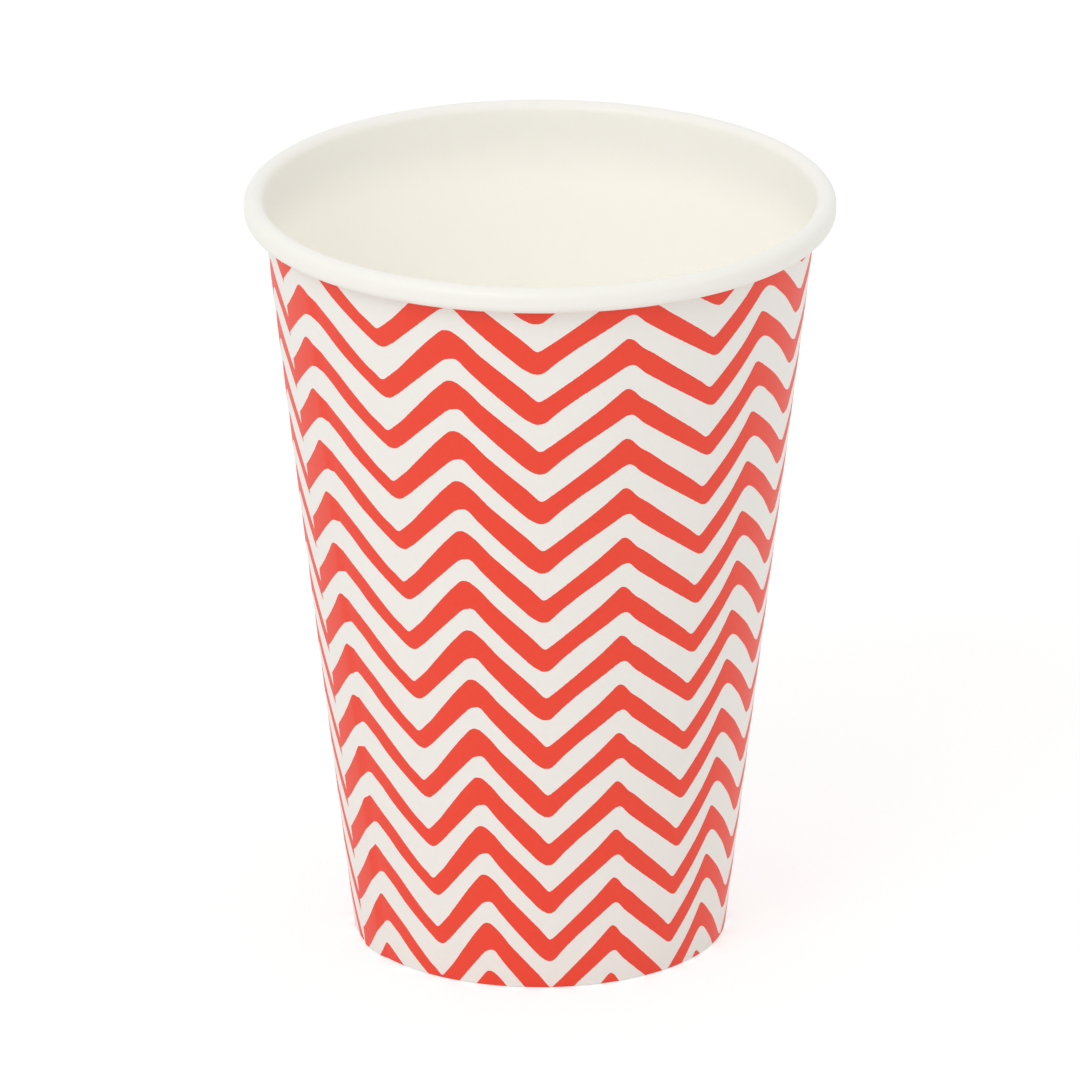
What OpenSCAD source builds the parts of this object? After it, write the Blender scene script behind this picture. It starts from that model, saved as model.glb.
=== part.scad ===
// Paper cup for cold drinks: one wall of paperboard, rolled over at the top and sealed down one side,
// with a recessed base disc held in the fold at its foot.
// The origin is the middle of the ring the cup stands on, +Z is up and the front is towards -Y.

/* [Cup] */
// Outer diameter of the rolled rim
rim_d = 78; // [70:0.5:90]
// Diameter at which the wall's outer face meets the table
base_d = 49.4; // [42:0.2:56]
// Height from the table to the top of the rim
cup_h = 102.7; // [80:0.1:130]

/* [Wall] */
// Thickness of the wall's paperboard
board_t = 0.3; // [0.2:0.02:0.44]

/* [Side seam] */
// Direction of the seam's outer edge, in degrees from the front, less than 0 to the left
seam_angle = -68; // [-180:1:180]
// Width of the lap that is sealed, measured at the rim
lap_w = 7; // [4:0.5:12]
// Slope at which the upper layer of the lap comes down to the wall, in degrees
ramp_angle = 12; // [8:1:25]

/* [Rolled rim] */
// Width of the roll, from the wall's inner face to its outside
roll_w = 2.7; // [2.2:0.1:3.4]
// Straight height of the roll's outer side, between its two bends
roll_side = 0.7; // [0.2:0.1:2]
// Gap between the wall and the tucked-in edge of the roll
tuck_gap = 0.18; // [0.12:0.02:0.3]
// How far round the tucked-in edge turns, in degrees
tuck_turn = 125; // [60:5:150]

/* [Foot] */
// Height of the base disc's underside above the table
recess_h = 6.5; // [4:0.5:12]
// Distance from the base disc's underside down to the edge of the hem
hem_drop = 0.9; // [0.7:0.1:2]

/* [Base disc] */
// Thickness of the base disc's paperboard
disc_t = 0.24; // [0.18:0.02:0.36]
// Inner radius of the bend where the disc turns down
disc_bend_r = 0.3; // [0.1:0.05:0.5]
// Gap under the edge of the turned-down flange, in the fold
flange_gap = 0.1; // [0.05:0.05:0.4]

/* [Hidden] */
$fn = 180;

wall_color = "#F1EEE9";
disc_color = "#EFEBE0";

// Angle between the front and the direction in which a turned section starts
front = 270;
// Number of straight steps along a bend of 90 degrees
bend_steps = 8;

// Middle of the roll's upper bend, and of the bend at its lower outside corner
roll_r = roll_w/2;
roll_x = rim_d/2 - roll_r;
roll_top_z = cup_h - roll_r;
roll_low_z = roll_top_z - roll_side;

// Lean of the wall from upright: its outer face starts at the foot and runs into the roll
foot_x = base_d/2;
lean = atan2(roll_x - foot_x, roll_top_z)
    - asin((roll_r - board_t)/norm([roll_x - foot_x, roll_top_z]));

// Radius and middle of the tucked-in bend, which stays clear of the wall's outer face
tuck_r = ((roll_x - foot_x)*cos(lean) - (roll_low_z - roll_r)*sin(lean) - tuck_gap)/(1 + sin(lean));
tuck_z = roll_low_z - roll_r + tuck_r;

// Thickness through the foot: the wall, the disc's flange and the hem
foot_w = 2*board_t + disc_t;
hem_z = recess_h - hem_drop;

// The lap's angle, and the direction where its ramp meets the wall
wall_top_r = foot_x + roll_top_z*tan(lean);
lap_angle = lap_w/wall_top_r*180/PI;
ramp_w = board_t/tan(ramp_angle);
ramp_at = seam_angle + lap_angle + ramp_w/wall_top_r*180/PI;
// Share of the board's thickness that shows as a step at the seam's inner edge
inner_step = 0.8;

// Point on the face that lies a given depth inside the wall's outer face, at height z
function on_wall(depth, z) = [foot_x + z*tan(lean) - depth/cos(lean), z];

// Points along an arc; angles count from the outward direction, anticlockwise
function arc(middle, r, from, to) =
    let (n = max(2, ceil(abs(to - from)/90*bend_steps)))
    [for (i = [0:n]) let (a = from + (to - from)*i/n) middle + r*[cos(a), sin(a)]];

// Middle of the round corner between the table and a face that leans with the wall.
// It is on the outer side of that face for side = 1 and on its inner side for side = -1.
function corner(depth, r, side) = [on_wall(depth, r)[0] + side*r/cos(lean), r];

// Outside of the foot from the hem's edge to the wall, with so much board added on both faces
function foot_outside(extra) = concat(
    [on_wall(foot_w + extra, hem_z)],
    arc(corner(foot_w + extra, board_t, 1), board_t, 180 - lean, 270),
    arc(corner(-extra, board_t, -1), board_t, -90, -lean));

// One side of the roll: the side at distance inset inside the roll's outside, from the wall to the edge
function roll_side_of(inset) = concat(
    arc([roll_x, roll_top_z], roll_r - inset, 180 - lean, 90),
    arc([roll_x, roll_top_z], roll_r - inset, 90 - 90/bend_steps, 0),
    arc([roll_x, roll_low_z], roll_r - inset, 0, -90),
    arc([roll_x, tuck_z], tuck_r - inset, -90, -90 - tuck_turn));

function reversed(list) = [for (i = [len(list) - 1:-1:0]) list[i]];

// Section of the wall's board: hem, fold, wall and roll
module wall_section() {
    inside_of_fold = [
        on_wall(board_t, board_t),
        on_wall(board_t + disc_t, board_t),
        on_wall(board_t + disc_t, hem_z)];
    polygon(concat(
        foot_outside(0),
        roll_side_of(board_t),
        reversed(roll_side_of(0)),
        inside_of_fold));
}

// Section of the second layer on the outside of the wall, bedded halfway into the first
module lap_section() {
    polygon(concat(
        arc(corner(-board_t, board_t, -1), board_t, -90, -lean),
        [on_wall(-board_t, roll_low_z), on_wall(board_t/2, roll_low_z), on_wall(board_t/2, 0)]));
}

// Section of the second layer on the hem's free face
module hem_lap_section() {
    polygon(concat(
        [on_wall(foot_w + board_t, hem_z)],
        arc(corner(foot_w + board_t, board_t, 1), board_t, 180 - lean, 270),
        [on_wall(foot_w - board_t/2, 0), on_wall(foot_w - board_t/2, hem_z)]));
}

// Turns what is drawn in the plane around the cup, from one direction to another
module turned(from, to) {
    rotate([0, 0, front + from]) rotate_extrude(angle = to - from) children();
}

// Places what is drawn at the origin on the wall's outer face, with z up the wall and x straight out of it
module on_face(direction) {
    rotate([0, 0, front + direction]) translate([foot_x, 0, 0]) rotate([0, lean, 0]) children();
}

// Upper layer of the lap: cut off square at the seam, sloping down to the wall at its other end
module lap() {
    past_ramp = 2;
    clear_h = cup_h + 20;
    difference() {
        turned(seam_angle, ramp_at + past_ramp) lap_section();
        on_face(ramp_at) rotate([0, 0, ramp_angle]) translate([0, -2*ramp_w, -10])
            cube([4*ramp_w, 8*ramp_w, clear_h]);
    }
    turned(seam_angle, seam_angle + lap_angle) hem_lap_section();
}

// Step on the inside of the wall, where the lower layer of the lap ends
module inner_edge() {
    low = (recess_h + disc_t + disc_bend_r)/cos(lean);
    high = roll_top_z/cos(lean);
    inward = board_t;
    step = inner_step*board_t;
    on_face(ramp_at) translate([-board_t, 0, low]) linear_extrude(high - low) polygon([
        [-inward, inward/tan(ramp_angle)],
        [step, -step/tan(ramp_angle)],
        [-inward, -step/tan(ramp_angle)]]);
}

module side_wall() {
    color(wall_color) union() {
        difference() {
            rotate_extrude() wall_section();
            inner_edge();
        }
        lap();
    }
}

// Section of the base disc: flat in the middle, turned down between the wall and the hem
module disc_section() {
    bend_out = disc_bend_r + disc_t;
    top_z = recess_h + disc_t;
    // Middle of the bend, where the flange's outer face lies against the wall's inner face
    bend_z = top_z - bend_out;
    bend_x = on_wall(board_t, bend_z)[0] - bend_out/cos(lean);
    middle = [bend_x, bend_z];
    low_z = board_t + flange_gap;
    polygon(concat(
        [[0, recess_h], [0, top_z]],
        arc(middle, bend_out, 90, -lean),
        [on_wall(board_t, low_z), on_wall(board_t + disc_t, low_z)],
        arc(middle, disc_bend_r, -lean, 90)));
}

module base_disc() {
    color(disc_color) rotate_extrude() disc_section();
}

side_wall();
base_disc();
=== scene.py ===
"""Looks of a paper cup for cold drinks: white board with a red zigzag print. Lengths are in mm
until they reach a mesh, which is in metres."""
import bmesh
import bpy
import numpy as np
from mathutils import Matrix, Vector


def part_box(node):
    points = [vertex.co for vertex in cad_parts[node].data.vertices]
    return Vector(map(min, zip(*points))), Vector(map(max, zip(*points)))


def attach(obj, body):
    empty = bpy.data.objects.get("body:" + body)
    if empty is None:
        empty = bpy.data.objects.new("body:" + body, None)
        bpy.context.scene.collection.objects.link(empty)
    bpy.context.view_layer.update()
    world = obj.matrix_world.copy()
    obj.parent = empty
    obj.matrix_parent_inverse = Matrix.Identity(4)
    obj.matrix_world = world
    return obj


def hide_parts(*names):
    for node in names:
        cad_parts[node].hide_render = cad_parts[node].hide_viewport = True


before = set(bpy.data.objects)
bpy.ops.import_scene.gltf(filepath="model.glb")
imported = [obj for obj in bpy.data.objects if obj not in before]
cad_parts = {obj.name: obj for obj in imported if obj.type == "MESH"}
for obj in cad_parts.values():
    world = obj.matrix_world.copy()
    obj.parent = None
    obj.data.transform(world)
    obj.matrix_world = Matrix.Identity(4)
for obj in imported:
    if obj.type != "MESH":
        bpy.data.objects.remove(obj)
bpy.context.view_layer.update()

# Paperboard
# The cup is made of two blanks of white board with a thin film of plastic on the side that meets
# the drink. The wall's other side is coated and printed. Where a blank was cut, its fibres show.
MM = 0.001


def linear(hex_colour):
    """sRGB hex to linear red, green, blue and alpha: each channel by the sRGB curve."""
    srgb = np.array([int(hex_colour[i:i + 2], 16) for i in (1, 3, 5)]) / 255
    rgb = np.where(srgb <= 0.04045, srgb / 12.92, ((srgb + 0.055) / 1.055) ** 2.4)
    return (*rgb.tolist(), 1.0)


def add_node(tree, kind, inputs=None, **settings):
    """Adds a node with its settings. inputs maps a socket to a value, or to the output that feeds
    it."""
    node = tree.nodes.new(kind)
    for name, value in settings.items():
        setattr(node, name, value)
    for socket, value in (inputs or {}).items():
        if isinstance(value, bpy.types.NodeSocket):
            tree.links.new(value, node.inputs[socket])
        else:
            node.inputs[socket].default_value = value
    return node


def new_material(name):
    """An empty material with its node tree and its output node."""
    material = bpy.data.materials.new(name)
    material.use_nodes = True
    material.node_tree.nodes.clear()
    return material, material.node_tree, material.node_tree.nodes.new("ShaderNodeOutputMaterial")


def board_texture(tree, colour, tone, grain_mm, grain_height_mm):
    """Board's surface: the colour, darker by up to tone in soft clouds, and a bump of fine grain.
    Returns the colour and the normal."""
    cloud_mm = 2.5
    place = add_node(tree, "ShaderNodeTexCoord").outputs["Object"]
    clouds = add_node(tree, "ShaderNodeTexNoise", {
        "Vector": place, "Scale": 1 / (cloud_mm * MM), "Detail": 4.0, "Roughness": 0.6})
    shade = add_node(tree, "ShaderNodeMapRange", {
        "Value": clouds.outputs["Fac"], "From Min": 0.3, "From Max": 0.7,
        "To Min": 1 - tone, "To Max": 1.0})
    toned = add_node(tree, "ShaderNodeVectorMath", {0: colour, 1: shade.outputs["Result"]},
                     operation="MULTIPLY")
    grain = add_node(tree, "ShaderNodeTexNoise", {
        "Vector": place, "Scale": 1 / (grain_mm * MM), "Detail": 3.0, "Roughness": 0.55})
    bump = add_node(tree, "ShaderNodeBump", {
        "Height": grain.outputs["Fac"], "Distance": grain_height_mm * MM, "Strength": 1.0})
    return toned.outputs["Vector"], bump.outputs["Normal"]


def coated_board_painted_glow(rim_low):
    """Inner side: white board under a film of polyethylene, smooth and faintly warm, with a soft
    shine. Board this thin lets a little of the room's light through. That light is not traced but
    painted, as a faint glow of emission on the inner side. The painted glow fades away below
    rim_low, as painted shade where the roll lies in the way above."""
    fade_mm = 8
    material, tree, output = new_material("coated_board_painted_glow")
    colour, normal = board_texture(tree, linear("#F7F5EE")[:3], tone=0.01, grain_mm=0.8,
                                   grain_height_mm=0.002)
    place = add_node(tree, "ShaderNodeTexCoord").outputs["Object"]
    height = add_node(tree, "ShaderNodeSeparateXYZ", {0: place}).outputs["Z"]
    # Painted glow: the emission's strength, none at the roll and full below it, stands in for light
    # through the board
    glow = add_node(tree, "ShaderNodeMapRange", {
        "Value": height, "From Min": (rim_low - fade_mm) * MM, "From Max": rim_low * MM,
        "To Min": 0.09, "To Max": 0.0}, interpolation_type="SMOOTHSTEP")
    surface = add_node(tree, "ShaderNodeBsdfPrincipled", {
        "Base Color": colour, "Normal": normal, "Roughness": 0.42, "IOR": 1.5,
        "Emission Color": linear("#FFFCF5"), "Emission Strength": glow.outputs["Result"]})
    tree.links.new(surface.outputs["BSDF"], output.inputs["Surface"])
    return material


def cut_board():
    """Cut edge: bare pulp fibres, a little darker and quite matt."""
    material, tree, output = new_material("cut_board")
    colour, normal = board_texture(tree, linear("#EAE4D6")[:3], tone=0.06, grain_mm=0.12,
                                   grain_height_mm=0.01)
    surface = add_node(tree, "ShaderNodeBsdfPrincipled", {
        "Base Color": colour, "Normal": normal, "Roughness": 0.9})
    tree.links.new(surface.outputs["BSDF"], output.inputs["Surface"])
    return material


board_edge = cut_board()

# Side wall
# One blank of board wrapped into a cone and sealed where its ends lap. Its top is curled outwards
# into the rim, so the inner side shows there, and its bottom is folded in and up as a hem.
wall_low, wall_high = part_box("side_wall")
rim_r = (wall_high[0] - wall_low[0]) / 2 / MM
cup_h = wall_high[2] / MM
foot_r = 24.7
board_t = 0.3
disc_t = 0.24
recess_h = 6.5
hem_drop = 0.9
hem_z = recess_h - hem_drop

roll_r = 1.35
roll_side = 0.7
tuck_gap = 0.18
tuck_turn = 125
roll_x = rim_r - roll_r
roll_top_z = cup_h - roll_r
roll_low_z = roll_top_z - roll_side

# The wall's outer face starts at the foot and runs tangent into the roll
to_roll = np.array([roll_x - foot_r, roll_top_z])
lean = np.arctan2(*to_roll) - np.arcsin((roll_r - board_t) / np.linalg.norm(to_roll))
tuck_r = (((roll_x - foot_r) * np.cos(lean) - (roll_low_z - roll_r) * np.sin(lean) - tuck_gap)
          / (1 + np.sin(lean)))
tuck_z = roll_low_z - roll_r + tuck_r
foot_w = 2 * board_t + disc_t

seam_angle = -68.0
lap_w = 7.0
ramp_degrees = 12
ramp_w = board_t / np.tan(np.radians(ramp_degrees))
inner_step = 0.8
wall_top_r = foot_r + roll_top_z * np.tan(lean)
ramp_at = seam_angle + np.degrees((lap_w + ramp_w) / wall_top_r)

# Rows along the section: on the hem, in each bend of the fold, up the wall outside and inside, and
# in a quarter of the roll on its hidden and its visible side
hem_heights = [hem_z, 4, 2]
corner_steps = 6
wall_rows = 34
inner_low_z = 9
inner_rows = 12
hidden_steps = 4
visible_steps = 12
# The first rows of the fold's outer bend and of the wall above it
fold_row = len(hem_heights) + corner_steps + 1
wall_row = fold_row + corner_steps + 1
# Columns are this many degrees apart
turn_step = 0.5


def on_wall(depth, height):
    """Points at a depth inside the wall's outer face: the radius grows with height by the tangent
    of the lean, less the depth over its cosine."""
    height = np.atleast_1d(np.asarray(height, float))
    return np.column_stack([foot_r + height * np.tan(lean) - depth / np.cos(lean), height])


def arc(x, z, radius, start, end, steps):
    """Points on a circle round (x, z), from the start angle to the end angle in degrees."""
    turn = np.radians(np.linspace(start, end, steps + 1))
    return np.column_stack([x + radius * np.cos(turn), z + radius * np.sin(turn)])


def roll_line(inset, bend_steps):
    """The curl's line at an inset from its outside: over the top, down, under and tucked in."""
    return np.vstack([
        arc(roll_x, roll_top_z, roll_r - inset, 180 - np.degrees(lean), 0, 2 * bend_steps),
        arc(roll_x, roll_low_z, roll_r - inset, 0, -90, bend_steps),
        arc(roll_x, tuck_z, tuck_r - inset, -90, -90 - tuck_turn, bend_steps)[1:]])


def wall_section():
    """The board's section as a closed line of radius and height: the printed side from the hem's
    edge round the fold and up into the roll, and the inner side back down to the fold and up the
    hem. The cut edges join them. Returns the points and how many are on the printed side."""
    side = np.degrees(lean)
    corner_in = on_wall(foot_w, board_t)[0, 0] + board_t / np.cos(lean)
    corner_out = on_wall(0, board_t)[0, 0] - board_t / np.cos(lean)
    printed = np.vstack([
        on_wall(foot_w, hem_heights),
        arc(corner_in, board_t, board_t, 180 - side, 270, corner_steps),
        arc(corner_out, board_t, board_t, -90, -side, corner_steps),
        on_wall(0, np.linspace(0, roll_low_z - roll_r, wall_rows)[1:]),
        roll_line(board_t, hidden_steps)])
    coated = np.vstack([
        roll_line(0, visible_steps)[::-1],
        on_wall(board_t, np.linspace(roll_low_z, inner_low_z, inner_rows)),
        on_wall(board_t, [recess_h + disc_t, board_t]),
        on_wall(board_t + disc_t, [board_t, hem_z])])
    return np.vstack([printed, coated]), len(printed)


def ring_mesh(name, points, loops, materials):
    """A mesh from a grid of points (column, row, xyz) closed both ways. loops gives the material of
    each face, which goes from its column and row to the next ones."""
    columns, rows = points.shape[:2]
    index = np.arange(columns * rows).reshape(columns, rows)
    right = np.roll(index, -1, axis=0)
    quads = np.stack([
        index, right, np.roll(right, -1, axis=1), np.roll(index, -1, axis=1)], axis=-1)
    mesh = bpy.data.meshes.new(name)
    mesh.from_pydata((points.reshape(-1, 3) * MM).tolist(), [], quads.reshape(-1, 4).tolist())
    mesh.polygons.foreach_set("material_index", loops.astype(np.int32).reshape(-1))
    for material in materials:
        mesh.materials.append(material)
    return mesh


def clean_up(mesh, sharp_degrees):
    """Merges doubled points, drops faces and edges that this leaves empty, smooths the shading and
    keeps edges sharp that turn by more than sharp_degrees."""
    doubled_mm, empty_mm = 0.001, 0.0001
    shape = bmesh.new()
    shape.from_mesh(mesh)
    bmesh.ops.remove_doubles(shape, verts=shape.verts, dist=doubled_mm * MM)
    bmesh.ops.dissolve_degenerate(shape, edges=shape.edges, dist=empty_mm * MM)
    empty = [edge for edge in shape.edges if not edge.link_faces]
    bmesh.ops.delete(shape, geom=empty, context="EDGES")
    shape.to_mesh(mesh)
    shape.free()
    mesh.shade_smooth()
    mesh.set_sharp_from_angle(angle=np.radians(sharp_degrees))


# The print
# A row of zigzags that repeats up the wall, laid on the blank a little out of square. The upper and
# the lower edge of a red stripe go through these corners: degrees round the cup from the front, and
# mm above the table. They are the chevrons from the seam at the left to the cup's right side.
row_pitch = 7.166
upper_corners = np.array([
    (-73, 45.5), (-70, 46.2), (-67, 47.5), (-64, 48.9), (-60.5, 50.9), (-57.7, 52.9), (-56, 52.7),
    (-50, 50.5), (-47, 49.3), (-38, 44.9), (-36, 44.2), (-34.2, 43.3), (-30, 45.4), (-22, 50.4),
    (-18.6, 52.3), (-16.7, 52.3), (-14, 51.1), (-11, 49.2), (-2, 44.6), (1.2, 42.7), (4, 43.9),
    (15, 48.9), (18, 50.4), (20.2, 51.5), (21.7, 51.1), (23.4, 49.9), (26, 48.9), (30, 47.0),
    (38, 43.5), (40.8, 42.1), (47, 45.4), (50, 47.1), (53.7, 49.7), (55.1, 50.9), (57, 50.3),
    (64, 47.4), (72, 43.5), (75, 42.8)])
lower_corners = np.array([
    (-73, 42.6), (-70, 42.9), (-66, 44.4), (-59, 47.8), (-56.3, 49.0), (-54.4, 49.2), (-50, 47.7),
    (-46, 45.8), (-36, 41.7), (-34.4, 41.1), (-32.6, 41.0), (-30, 42.1), (-18.6, 48.1), (-16, 48.4),
    (-13.3, 46.6), (-8, 43.6), (-2, 40.4), (0.4, 39.6), (2.3, 39.7), (5.6, 41.5), (10, 43.5),
    (18, 46.6), (20.3, 47.5), (21.9, 47.6), (24, 46.3), (30, 43.8), (39, 40.3), (40.9, 39.6),
    (42.4, 39.5), (49, 43.0), (55.2, 46.7), (57, 47.0), (59.2, 46.4), (65, 43.8), (71, 40.5),
    (72.7, 39.8), (76, 39.9)])
# Round the back the last two chevrons come three times more, the third time up to a peak. A last
# limb runs down to the seam and ends under it, lower than the stripes are on the seam's other side.
first_valley, back_peak = 3.0, 57.5
back_shift = np.array([73.8, 0.47])
upper_limb = np.array([(284, 48.8), (294, 42.6)])
lower_limb = np.array([(283.5, 46.4), (294, 40.0)])
# For each mm above the middle the columns turn and close in, and the rows bow and tilt
print_middle = 50
column_turn = 0.042
column_close = 0.00037
row_bow = 0.0001
row_tilt = 0.008
# Rounding of the corners by the ink, in degrees
ink_round = 1.2


def stripe_edge(corners, limb, degrees):
    """Height of a stripe's edge at each angle: straight lines between its corners, rounded by a
    mean over nearby angles that weighs the near ones most."""
    again = corners[corners[:, 0] > first_valley]
    third = again[again[:, 0] < back_peak]
    corners = np.vstack([
        corners, again + back_shift, again + 2 * back_shift, third + 3 * back_shift, limb])
    step = 0.1
    angles = np.arange(corners[0, 0], corners[-1, 0], step)
    heights = np.interp(angles, corners[:, 0], corners[:, 1])
    half = int(round(ink_round / step))
    weights = np.hanning(2 * half + 3)[1:-1]
    padded = np.concatenate([np.full(half, heights[0]), heights, np.full(half, heights[-1])])
    rounded = np.convolve(padded, weights / weights.sum(), "valid")
    return np.interp(degrees, angles, rounded)


def printed_board():
    """Outer side: clay-coated board, offset printed in red, then varnished to a dull satin. A point
    is red where its place within the row, from 0 to 1, is less than the stripe's share of it. The
    ink's edge is a little ragged, and the ink lies uneven, which gives it a fine mottle."""
    ragged_mm, ragged_share = 0.35, 0.02
    mottle_mm = 0.6
    material, tree, output = new_material("varnished_print")
    row = add_node(tree, "ShaderNodeAttribute", attribute_name="stripe_row").outputs["Fac"]
    share = add_node(tree, "ShaderNodeAttribute", attribute_name="stripe_share").outputs["Fac"]
    place = add_node(tree, "ShaderNodeTexCoord").outputs["Object"]
    ragged = add_node(tree, "ShaderNodeTexNoise", {
        "Vector": place, "Scale": 1 / (ragged_mm * MM), "Detail": 2.0})
    shift = add_node(tree, "ShaderNodeMath", {
        0: ragged.outputs["Fac"], 1: ragged_share, 2: row}, operation="MULTIPLY_ADD")
    within = add_node(tree, "ShaderNodeMath", {0: shift.outputs[0]}, operation="FRACT")
    inked = add_node(tree, "ShaderNodeMath", {
        0: within.outputs[0], 1: share}, operation="LESS_THAN")
    mottle = add_node(tree, "ShaderNodeTexNoise", {
        "Vector": place, "Scale": 1 / (mottle_mm * MM), "Detail": 3.0, "Roughness": 0.7})
    red = add_node(tree, "ShaderNodeMix", {
        "Factor": mottle.outputs["Fac"], "A": linear("#F03A1C"), "B": linear("#F4432A")},
        data_type="RGBA")
    colour = add_node(tree, "ShaderNodeMix", {
        "Factor": inked.outputs[0], "A": linear("#F4F0EB"), "B": red.outputs["Result"]},
        data_type="RGBA")
    toned, normal = board_texture(tree, colour.outputs["Result"], tone=0.015, grain_mm=0.5,
                                  grain_height_mm=0.003)
    surface = add_node(tree, "ShaderNodeBsdfPrincipled", {
        "Base Color": toned, "Normal": normal, "Roughness": 0.48, "IOR": 1.5})
    tree.links.new(surface.outputs["BSDF"], output.inputs["Surface"])
    return material


def side_wall():
    """The section turned round the axis, from the seam's outer edge once round and back under it.
    The upper layer of the lap stands out by the board's thickness and slopes down at its far end,
    where the lower layer's edge shows inside as a step."""
    section, printed_rows = wall_section()
    radius, height = section.T
    row = np.arange(len(section))

    # Columns: their angle, how far along the wall from it in mm, and how far out each face lies
    degrees = np.arange(seam_angle, seam_angle + 360 + turn_step / 2, turn_step)
    widest_ramp = np.degrees(ramp_w / (foot_r - foot_w))
    degrees = degrees[(degrees < ramp_at - widest_ramp) | (degrees > ramp_at)]
    lap = degrees < ramp_at
    ramp_along = np.array([-1, -inner_step, -inner_step, 0]) * ramp_w
    angle = np.concatenate([degrees[lap], np.full(4, ramp_at), degrees[~lap]])
    along = np.concatenate([np.zeros(lap.sum()), ramp_along, np.zeros((~lap).sum())])
    outer = np.concatenate([np.ones(lap.sum()), -ramp_along / ramp_w, np.zeros((~lap).sum())])
    inner = np.concatenate([np.zeros(lap.sum()), [0, 0, inner_step, 0], np.zeros((~lap).sum())])

    # How far each row follows the lap: out on the wall, in on the hem, and not at all in the roll
    on_outside = (row >= fold_row) & (row < printed_rows) & (height <= roll_low_z - roll_r)
    on_hem = row < fold_row
    follows_outer = on_outside.astype(float) - on_hem
    clear_of_disc = 0.5
    above_disc = height > recess_h + disc_t + clear_of_disc
    below_roll = (height < roll_top_z) & (radius < roll_x - roll_r)
    follows_inner = (row >= printed_rows) & above_disc & below_roll

    turn = np.radians(angle)[:, None] + along[:, None] / radius
    reach = radius + board_t / np.cos(lean) * (
        outer[:, None] * follows_outer + inner[:, None] * follows_inner)
    points = np.stack([reach * np.sin(turn), -reach * np.cos(turn),
                       np.broadcast_to(height, turn.shape)], axis=-1)

    # Faces: printed side, inner side, and the cut edges, one of them the seam's
    printed_face, inner_face, cut_face = range(3)
    loops = np.full((len(angle), len(section)), printed_face)
    loops[:, printed_rows:] = inner_face
    loops[:, [printed_rows - 1, -1]] = cut_face
    loops[-1, on_outside | on_hem] = cut_face
    mesh = ring_mesh("side_wall_board", points, loops,
                     [printed_board(), inner_board, board_edge])

    # The print follows the board: by height up the wall, and by the way along it round the fold. As
    # many rows are added as keep a point's row above 0, so that its fraction is its place within.
    rows_added = 20
    steps = np.linalg.norm(np.diff(section[:printed_rows], axis=0), axis=1) * np.cos(lean)
    way = np.concatenate([[0], np.cumsum(steps)])
    board_z = np.zeros(len(section))
    board_z[:printed_rows] = way - way[wall_row] + height[wall_row]
    above = board_z - print_middle
    print_angle = (np.degrees(turn) + column_turn * above) / (1 + column_close * above)
    print_z = board_z - row_bow * above ** 2 + row_tilt * above * np.sin(turn)
    upper = stripe_edge(upper_corners, upper_limb, print_angle)
    lower = stripe_edge(lower_corners, lower_limb, print_angle)
    for name, value in (("stripe_row", (print_z - lower) / row_pitch + rows_added),
                        ("stripe_share", (upper - lower) / row_pitch)):
        layer = mesh.attributes.new(name, "FLOAT", "POINT")
        layer.data.foreach_set("value", value.astype(np.float32).reshape(-1))
    clean_up(mesh, sharp_degrees=40)
    return bpy.data.objects.new("side_wall_board", mesh)


# The inner side's material carries a painted glow, an emission standing in for light through the
# board
inner_board = coated_board_painted_glow(rim_low=roll_low_z - roll_r)
wall = side_wall()
bpy.context.scene.collection.objects.link(wall)
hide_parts("side_wall")
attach(wall, "root")

# Base disc
# A round blank of thinner board with the film on its upper side. Its edge is turned down and held
# between the wall and the hem, so that the disc hangs above the table.
disc_bend_r = 0.3
flange_gap = 0.1
disc_bend_steps = 8
disc_turn_step = 1.0


def disc_section():
    """The disc's section from the axis outwards along its upper side, down the flange and back
    along its underside. Returns the points and how many are on the upper side."""
    bend_out = disc_bend_r + disc_t
    top_z = recess_h + disc_t
    bend_z = top_z - bend_out
    bend_x = on_wall(board_t, bend_z)[0, 0] - bend_out / np.cos(lean)
    side = np.degrees(lean)
    half_way, near_bend = bend_x * 0.5, bend_x - 0.5
    flange_low_z, flange_middle_z = board_t + flange_gap, 3
    upper = np.vstack([
        [(0, top_z), (half_way, top_z), (near_bend, top_z)],
        arc(bend_x, bend_z, bend_out, 90, -side, disc_bend_steps),
        on_wall(board_t, [flange_middle_z, flange_low_z])])
    under = np.vstack([
        on_wall(board_t + disc_t, [flange_low_z, flange_middle_z]),
        arc(bend_x, bend_z, disc_bend_r, -side, 90, disc_bend_steps),
        [(near_bend, recess_h), (half_way, recess_h), (0, recess_h)]])
    return np.vstack([upper, under]), len(upper)


def base_disc():
    """The disc's section turned once round the axis, starting on its underside."""
    section, upper_rows = disc_section()
    section = section[::-1]
    radius, height = section.T
    turn = np.radians(np.arange(0, 360, disc_turn_step))[:, None]
    points = np.stack([radius * np.sin(turn), -radius * np.cos(turn),
                       np.broadcast_to(height, (len(turn), len(section)))], axis=-1)
    upper_face, under_face = range(2)
    loops = np.full((len(turn), len(section)), under_face)
    loops[:, len(section) - upper_rows:] = upper_face
    # The disc's upper side carries the coated board's painted glow as well
    mesh = ring_mesh("base_disc_board", points, loops, [inner_board, board_edge])
    clean_up(mesh, sharp_degrees=40)
    return bpy.data.objects.new("base_disc_board", mesh)


disc = base_disc()
bpy.context.scene.collection.objects.link(disc)
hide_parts("base_disc")
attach(disc, "root")

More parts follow.
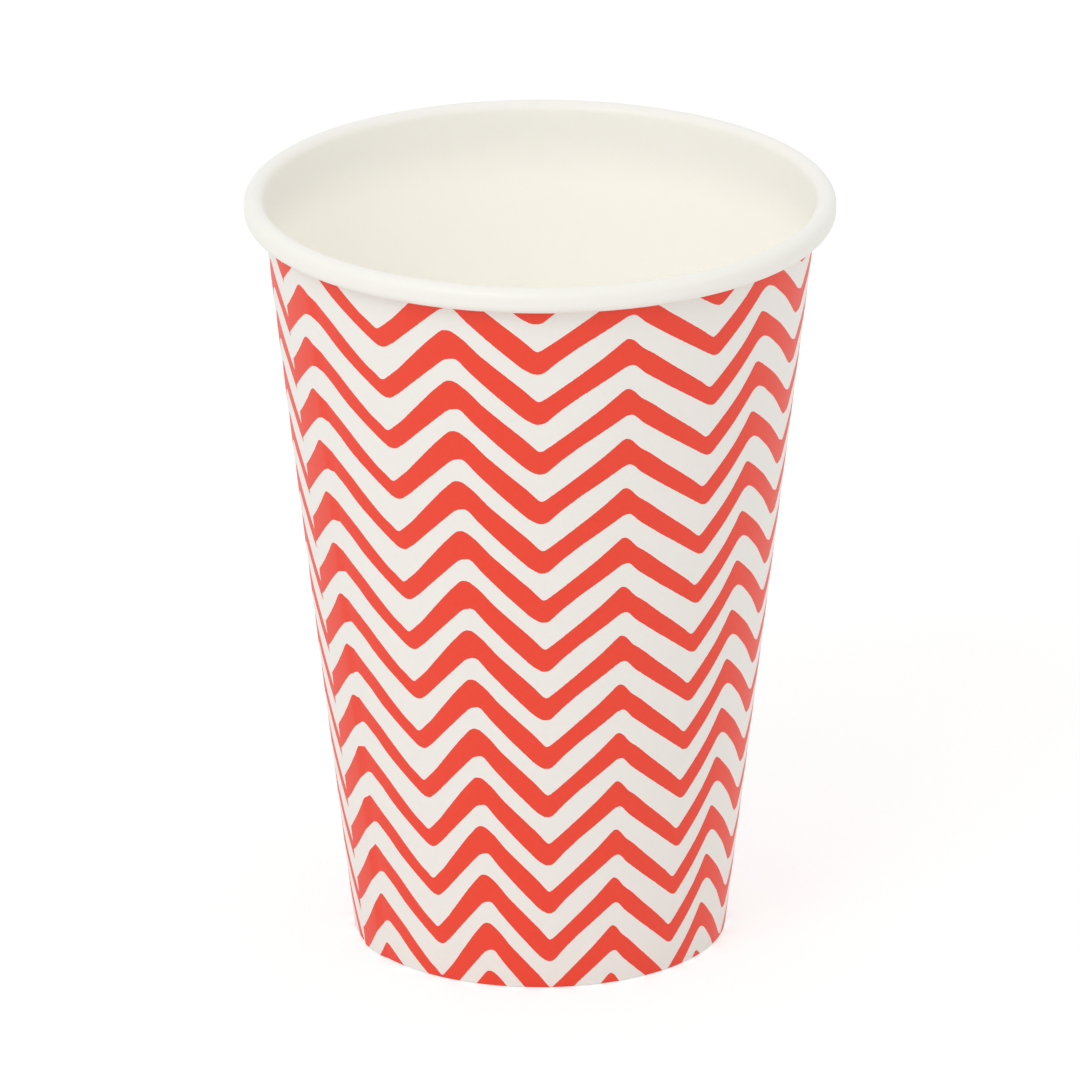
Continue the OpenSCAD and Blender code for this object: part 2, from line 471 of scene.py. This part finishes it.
# Table
# A large sheet of white paper. What is seen of it is darker paper with a plain glow added, so that
# the ground is white and the cup's soft shadow stays.
def seen_directly(tree):
    """1 for what the camera, gloss or glass sees, and 0 for light that falls on other things."""
    seen = add_node(tree, "ShaderNodeLightPath")
    gloss = add_node(tree, "ShaderNodeMath", {
        0: seen.outputs["Is Camera Ray"], 1: seen.outputs["Is Glossy Ray"]}, operation="MAXIMUM")
    glass = add_node(tree, "ShaderNodeMath", {
        0: gloss.outputs[0], 1: seen.outputs["Is Transmission Ray"]}, operation="MAXIMUM")
    return glass.outputs[0]


def table_paper():
    """White paper for the light that falls on it, and a darker one with a glow where it is seen."""
    material, tree, output = new_material("table_paper")
    paper = add_node(tree, "ShaderNodeBsdfDiffuse", {"Color": linear("#F2F2F0")})
    seen_paper = add_node(tree, "ShaderNodeBsdfDiffuse", {"Color": linear("#B4B4B3")})
    glow = add_node(tree, "ShaderNodeEmission", {"Color": (1, 1, 1, 1), "Strength": 0.62})
    both = add_node(tree, "ShaderNodeAddShader", {0: seen_paper.outputs[0], 1: glow.outputs[0]})
    mix = add_node(tree, "ShaderNodeMixShader", {
        0: seen_directly(tree), 1: paper.outputs[0], 2: both.outputs[0]})
    tree.links.new(mix.outputs[0], output.inputs["Surface"])
    return material


# Half its side in metres, and its level just under the foot
table_half = 4.0
table_z = -0.01 * MM
table_corners = ((-1, -1), (1, -1), (1, 1), (-1, 1))
table_mesh = bpy.data.meshes.new("table")
table_mesh.from_pydata(
    [(x * table_half, y * table_half, table_z) for x, y in table_corners], [], [(0, 1, 2, 3)])
table_mesh.materials.append(table_paper())
table = bpy.data.objects.new("table", table_mesh)
bpy.context.scene.collection.objects.link(table)

# Studio light
# An even white room, and a broad soft lamp high in front at the left. The room lights the cup a
# little less than it is bright to look at.
room_light = 0.83
room = bpy.data.worlds.new("room")
bpy.context.scene.world = room
room.use_nodes = True
room.node_tree.nodes.clear()
room_level = add_node(room.node_tree, "ShaderNodeMapRange", {
    "Value": seen_directly(room.node_tree), "To Min": room_light, "To Max": 1.0})
room_ground = add_node(room.node_tree, "ShaderNodeBackground", {
    "Color": (1, 1, 1, 1), "Strength": room_level.outputs["Result"]})
room_output = room.node_tree.nodes.new("ShaderNodeOutputWorld")
room.node_tree.links.new(room_ground.outputs[0], room_output.inputs["Surface"])

lamp_data = bpy.data.lights.new("key_lamp", "AREA")
lamp_data.shape = "DISK"
lamp_data.size = 1.2
lamp_data.energy = 11.2
lamp = bpy.data.objects.new("key_lamp", lamp_data)
lamp.location = (-0.97, -1.6, 1.7)
cup_middle = Vector((0, 0, cup_h / 2 * MM))
lamp.rotation_euler = (cup_middle - lamp.location).to_track_quat("-Z", "Y").to_euler()
bpy.context.scene.collection.objects.link(lamp)

# Camera
# It stands 2.42 m away and looks down on the cup by 20 degrees, with a long lens that fills the
# picture with the one cup.
camera_place = Vector((0.0007, -2.2737, 0.8936))
camera_aim = Vector((0, 0, 0.054))
camera_data = bpy.data.cameras.new("camera")
camera_data.sensor_width = 36
camera_data.lens = 610
camera_data.clip_end = 20
camera = bpy.data.objects.new("camera", camera_data)
camera.location = camera_place
camera.rotation_euler = (camera_aim - camera_place).to_track_quat("-Z", "Y").to_euler()
bpy.context.scene.collection.objects.link(camera)
bpy.context.scene.camera = camera

bpy.context.scene.view_settings.view_transform = "Standard"
